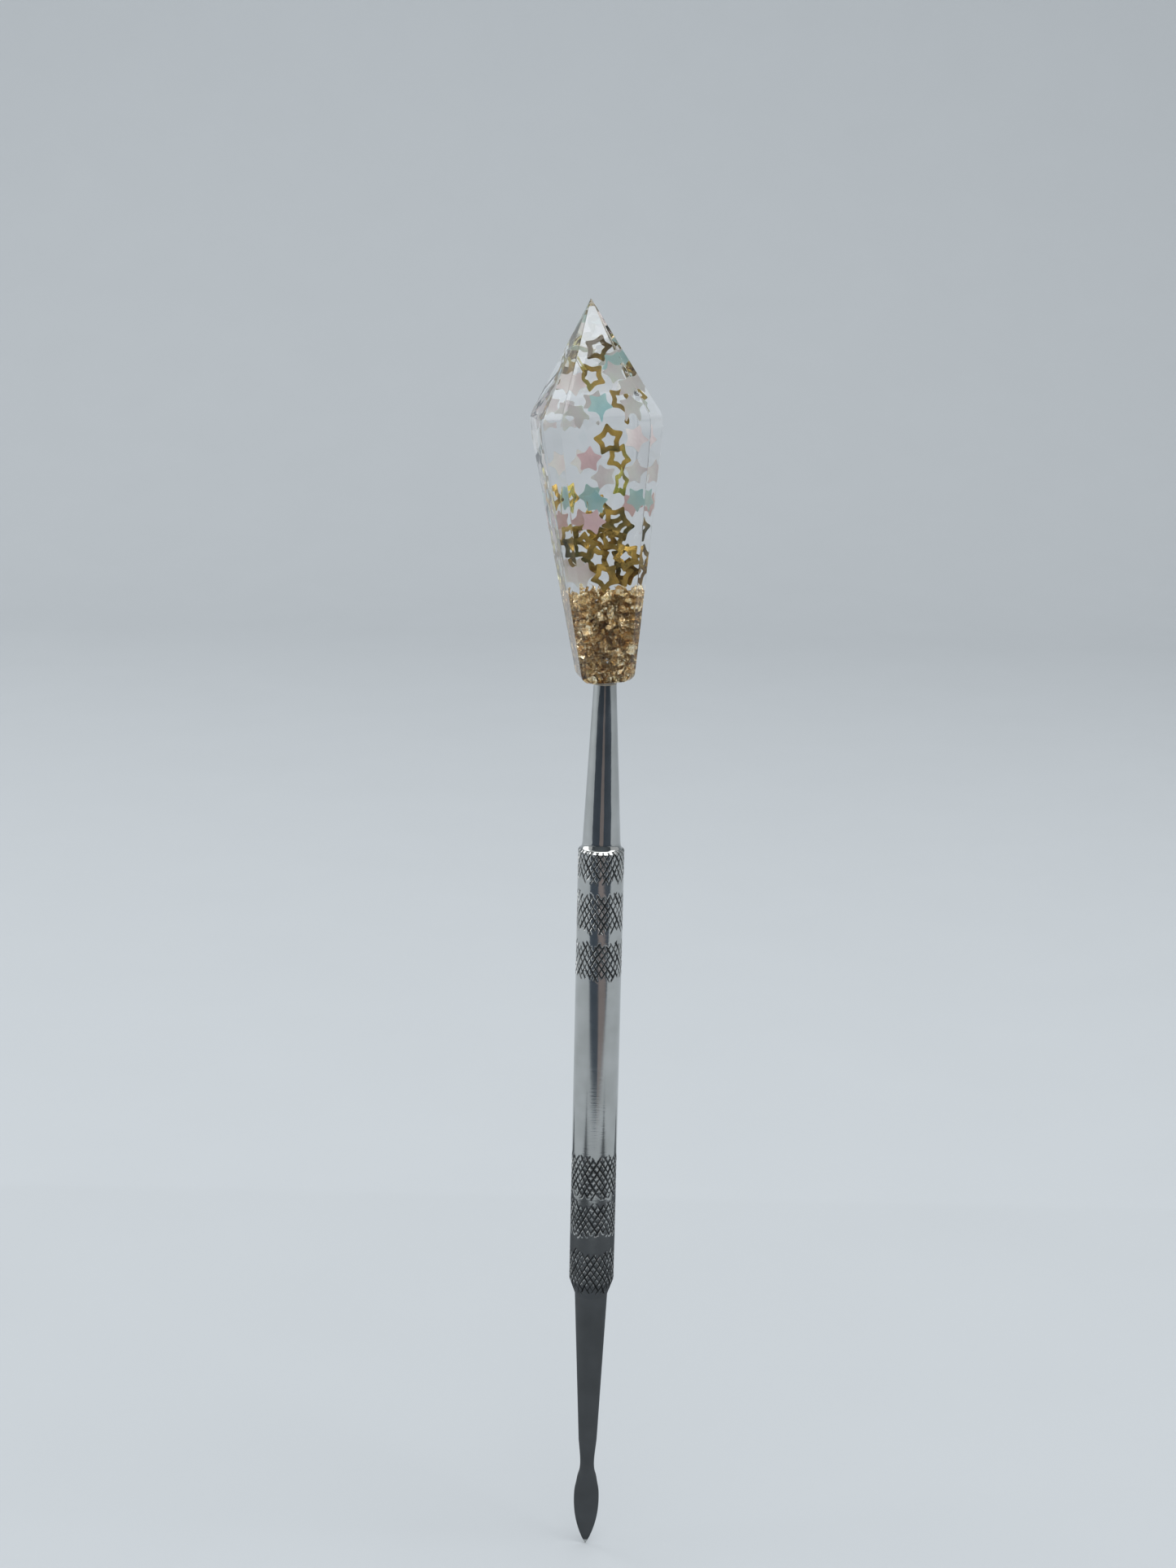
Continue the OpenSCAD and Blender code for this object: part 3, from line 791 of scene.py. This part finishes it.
class WAND_OT_leaf(bpy.types.Operator):
    """Gold leaf: hundreds of ragged square flakes, each a small grid with jittered edges, crumpled by
    three sine waves of its own, scattered and turned at random through the lower pour"""
    bl_idname = "wand.leaf"
    bl_label = "Gold Leaf"

    def execute(self, context):
        steel, crystal = context.scene.wand_steel, context.scene.wand_crystal
        sizes = context.scene.wand_confetti
        rng = np.random.default_rng(sizes.seed + 1)
        count, n = sizes.flakes, 5
        top = head_length(steel, crystal)
        share = crystal.corner_cut / crystal.girdle_a
        size = sizes.flake_size * rng.uniform(0.45, 1.2, count)
        # Places: even through a square column, kept inside the facets and round the tang.
        z = 0.35 * MM + (sizes.leaf_top - 0.35 * MM) * rng.random(count)
        half = facet_distance(z, crystal, top) - 0.3 * size - 0.15 * MM
        x, y = rng.uniform(-1, 1, (2, count)) * half
        corner = np.abs(x) + np.abs(y) > (2 - share) * half
        x, y = np.where(corner, 0.8 * x, x), np.where(corner, 0.8 * y, y)
        r = np.hypot(x, y)
        inner = steel.tang_d / 2 + 0.3 * MM
        push = np.where((z < steel.tang_len) & (r < inner), inner / np.maximum(r, 1e-6), 1)
        middle = np.stack([x * push, y * push, z], axis=-1)
        # A ragged top: the leaf stands higher in some places than in others.
        middle[:, 2] += z / sizes.leaf_top * 0.9 * MM * np.sin(x / MM * 0.9 + 1) * np.cos(y / MM * 0.8)
        # Turns: random unit vectors for each flake's normal, nearer level than upright.
        normal = rng.normal(size=(count, 3))
        normal /= np.linalg.norm(normal, axis=1, keepdims=True)
        side = np.cross(normal, rng.normal(size=(count, 3)))
        side /= np.linalg.norm(side, axis=1, keepdims=True)
        other = np.cross(normal, side)
        u, v = np.meshgrid(np.linspace(-0.5, 0.5, n), np.linspace(-0.5, 0.5, n), indexing="ij")
        u, v = (w.ravel() + rng.uniform(-0.13, 0.13, (count, n * n)) for w in (u, v))
        v = v * rng.uniform(0.5, 1, (count, 1))
        lift = sum(rng.uniform(0.03, 0.12, (count, 1)) * np.sin(
            2 * pi * (rng.uniform(-1.5, 1.5, (count, 1)) * u + rng.uniform(-1.5, 1.5, (count, 1)) * v)
            + rng.uniform(0, 2 * pi, (count, 1))) for _ in range(3))
        sheet = middle[:, None] + size[:, None, None] * (
            u[..., None] * side[:, None] + v[..., None] * other[:, None] + lift[..., None] * normal[:, None])
        # Leaf that would stick out of the mould lies pressed against its walls, floor or the tang.
        sheet[..., 2] = np.maximum(sheet[..., 2], 0.12 * MM)
        flat = np.abs(sheet[..., :2])
        wall = facet_distance(sheet[..., 2], crystal, top) - 0.12 * MM
        wall -= np.maximum(0, crystal.base_edge - sheet[..., 2])
        squeeze = np.minimum(1, wall / np.maximum(flat.max(-1), 1e-6))
        squeeze = np.minimum(squeeze, (2 - share) * wall / np.maximum(flat.sum(-1), 1e-6))
        sheet[..., :2] *= squeeze[..., None]
        r = np.linalg.norm(sheet[..., :2], axis=-1)
        clear_of_tang = np.where(sheet[..., 2] < steel.tang_len, steel.tang_d / 2 + 0.1 * MM, 0)
        sheet[..., :2] *= np.maximum(1, clear_of_tang / np.maximum(r, 1e-6))[..., None]
        gap = sizes.flake_t / 2 * normal[:, None]
        points = np.concatenate([sheet + gap, sheet - gap], axis=1).reshape(-1, 3)
        face = grid_quads(n, n, wrap=False)
        edge = np.concatenate([np.arange(n - 1), n - 1 + n * np.arange(n - 1),
                               n * n - 1 - np.arange(n - 1), n * (n - 1) - n * np.arange(n - 1)])
        following = np.roll(edge, -1)
        rim = np.stack([edge, following, following + n * n, edge + n * n], axis=-1)
        one = np.vstack([face[:, ::-1], face + n * n, rim])
        faces = (one[None] + (np.arange(count) * 2 * n * n)[:, None, None]).reshape(-1, 4)
        make_piece("gold_leaf_flakes", to_wand(points, steel, crystal), [faces], leaf_metal(),
                   ["gold_leaf"], radians(60))
        return {"FINISHED"}


# ---------------------------------------------------------------- stage

def stage_mesh(name, points, faces, material):
    mesh = bpy.data.meshes.new(name)
    mesh.from_pydata(points.tolist(), [], faces.tolist())
    mesh.polygons.foreach_set("use_smooth", np.ones(len(mesh.polygons), bool))
    mesh.update()
    mesh.materials.append(material)
    obj = bpy.data.objects.new(name, mesh)
    bpy.context.scene.collection.objects.link(obj)
    obj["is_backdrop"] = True
    return obj


def matte(name, rgba):
    """Matte paper: even and dull, with the faintest mottle."""
    material, tree, out, place = new_material(name)
    mottle = add(tree, "ShaderNodeTexNoise", {"Vector": place, "Scale": 30.0, "Detail": 2.0})
    tone = add(tree, "ShaderNodeMix", {
        "Factor": mottle.outputs["Fac"], 6: rgba, 7: [0.97 * c for c in rgba[:3]] + [1]},
        data_type="RGBA")
    shader = add(tree, "ShaderNodeBsdfPrincipled", {"Base Color": tone.outputs[2], "Roughness": 0.9})
    tree.links.new(shader.outputs[0], out.inputs["Surface"])
    return material


def mirror_card(name, outline, z, material):
    """A flat card of (x, y) corners at one height, or of (x, y, z) corners above it, which only mirror
    rays see."""
    points = np.array([(*corner, 0)[:3] for corner in outline]) + (0, 0, z)
    card = stage_mesh(name, points, np.arange(len(points))[None], material)
    card.visible_camera = card.visible_diffuse = card.visible_shadow = False
    card.visible_transmission = card.visible_volume_scatter = False


def lamp(name, place, target, size, watts):
    """A square soft light that faces its target."""
    data = bpy.data.lights.new(name, "AREA")
    data.shape, data.size, data.energy = "SQUARE", size, watts
    obj = bpy.data.objects.new(name, data)
    bpy.context.scene.collection.objects.link(obj)
    obj.location = place
    away = np.array(place, float) - np.array(target, float)
    away /= np.linalg.norm(away)
    right = np.cross((0, 0, 1), away)
    right /= np.linalg.norm(right)
    up = np.cross(away, right)
    turn = np.stack([right, up, away], axis=-1)
    obj.rotation_euler = matrix_euler(turn)


def matrix_euler(m):
    """XYZ Euler angles of a 3 by 3 turn."""
    pitch = asin(-m[2, 0])
    return (np.arctan2(m[2, 1], m[2, 2]), pitch, np.arctan2(m[1, 0], m[0, 0]))


class WAND_OT_stage(bpy.types.Operator):
    """Stage: a pale paper sweep, soft lamps, dark cards for the steel to mirror, and the camera"""
    bl_idname = "wand.stage"
    bl_label = "Stage"

    def execute(self, context):
        s = context.scene.wand_stage
        low, high = (np.array(c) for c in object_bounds())
        room_strength = 0.74
        floor = low[2] - 0.05 * MM
        paper = matte("pale paper", tuple(s.floor_colour))
        # The sweep is a floor, a quarter circle and a wall, carried along X.
        turn = np.linspace(0, pi / 2, 24)
        front, back, bend, wall, half_width, columns = -1.6, 0.75, 0.45, 2.4, 2.2, 5
        arc = np.stack([back + bend * np.sin(turn), floor + bend * (1 - np.cos(turn))], axis=-1)
        line = np.vstack([[(front, floor)], arc, [(back + bend, floor + wall)]])
        shape = (len(line), columns)
        across = np.linspace(-half_width, half_width, columns)
        points = np.stack([np.broadcast_to(across[None, :], shape), np.broadcast_to(line[:, :1], shape),
                           np.broadcast_to(line[:, 1:], shape)], axis=-1).reshape(-1, 3)
        stage_mesh("paper_sweep", points, grid_quads(*shape, wrap=False), paper)

        # An upright round bar seen from above mirrors the floor: high parts mirror it far away, low
        # parts near the wand. A card's outline so draws the edge of a dark stripe on the steel.
        near = [(0, -0.166), (0.112, -0.168), (0.183, -0.176), (0.318, -0.224), (0.535, -0.309),
                (0.9, -0.45)]
        mirrored = [(-x, y) for x, y in reversed(near[1:])]
        on_floor, on_card = floor + 0.6 * MM, floor + 1.0 * MM
        mirror_card("front_card", mirrored + near + [(0.9, -1.5), (-0.9, -1.5)], on_floor,
                    matte("navy card", tuple(s.front_colour)))
        mirror_card("middle_card", [
            (0.02, -0.17), (0.13, -0.172), (0.165, -0.19), (0.08, -0.36), (0.13, -0.62),
            (0.15, -1.4), (-0.15, -1.4), (-0.13, -0.62), (-0.08, -0.36), (0.02, -0.22)],
            on_card, matte("warm grey card", tuple(s.middle_colour)))
        h = 0.118
        mirror_card("stand_card", [(-h, -h), (h, -h), (h, h), (-h, h)], on_floor,
                    matte("dark grey card", tuple(s.stand_colour)))
        mirror_card("front_wall_card", [(-2, -1.5, 0), (2, -1.5, 0), (2, -1.2, 1.1), (-2, -1.2, 1.1)],
                    floor, matte("mid grey card", tuple(s.wall_colour)))

        world = bpy.data.worlds.new("soft room")
        context.scene.world = world
        world.use_nodes = True
        shade = world.node_tree.nodes["Background"]
        shade.inputs["Color"].default_value = tuple(s.room_colour)
        shade.inputs["Strength"].default_value = room_strength
        target = (0, 0, 0.03)
        lamp("overhead_softbox", (0.1, -0.1, 1.0), target, 0.9, 8)
        lamp("left_softbox", (-1.0, 0.25, 0.45), target, 1.0, 6)
        lamp("right_softbox", (0.95, -0.35, 0.75), target, 0.7, 3.5)

        data = bpy.data.cameras.new("camera")
        camera = bpy.data.objects.new("camera", data)
        context.scene.collection.objects.link(camera)
        data.sensor_fit, data.sensor_height, data.sensor_width = "VERTICAL", 36, 36
        data.lens, data.clip_start, data.clip_end = s.lens, 0.01, 20
        camera.location = (-s.aside, -s.distance, high[2] + s.above_tip)
        forward = np.array([0, cos(s.pitch), -sin(s.pitch)])
        level = np.array([1.0, 0, 0])
        upright = np.array([0, sin(s.pitch), cos(s.pitch)])
        right = cos(s.roll) * level + sin(s.roll) * upright
        up = -sin(s.roll) * level + cos(s.roll) * upright
        camera.rotation_euler = matrix_euler(np.stack([right, up, -forward], axis=-1))
        context.scene.camera = camera
        context.scene.view_settings.view_transform = "Standard"
        return {"FINISHED"}


# ---------------------------------------------------------------- add-on

class WAND_PT_panel(bpy.types.Panel):
    """Lists the wand's pieces and sizes"""
    bl_idname = "WAND_PT_panel"
    bl_label = "Crystal Wand"
    bl_space_type = "VIEW_3D"
    bl_region_type = "UI"
    bl_category = "Wand"

    def draw(self, context):
        for operator in OPERATORS:
            self.layout.operator(operator.bl_idname)
        for name, group in GROUPS.items():
            box = self.layout.box()
            for key in group.__annotations__:
                box.prop(getattr(context.scene, name), key)


OPERATORS = (WAND_OT_handle, WAND_OT_upper_shank, WAND_OT_lower_shank, WAND_OT_crystal, WAND_OT_glue,
             WAND_OT_stars, WAND_OT_leaf, WAND_OT_stage)
GROUPS = {"wand_steel": SteelSizes, "wand_crystal": CrystalSizes, "wand_confetti": ConfettiSizes,
          "wand_stage": StageSizes}


def register():
    for item in (*GROUPS.values(), *OPERATORS, WAND_PT_panel):
        bpy.utils.register_class(item)
    for name, group in GROUPS.items():
        setattr(bpy.types.Scene, name, PointerProperty(type=group))


def unregister():
    for name in GROUPS:
        delattr(bpy.types.Scene, name)
    for item in reversed((*GROUPS.values(), *OPERATORS, WAND_PT_panel)):
        bpy.utils.unregister_class(item)


def main():
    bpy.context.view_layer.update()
    register()
    for operator in OPERATORS:
        group, name = operator.bl_idname.split(".")
        getattr(getattr(bpy.ops, group), name)()


if __name__ == "__main__":
    main()
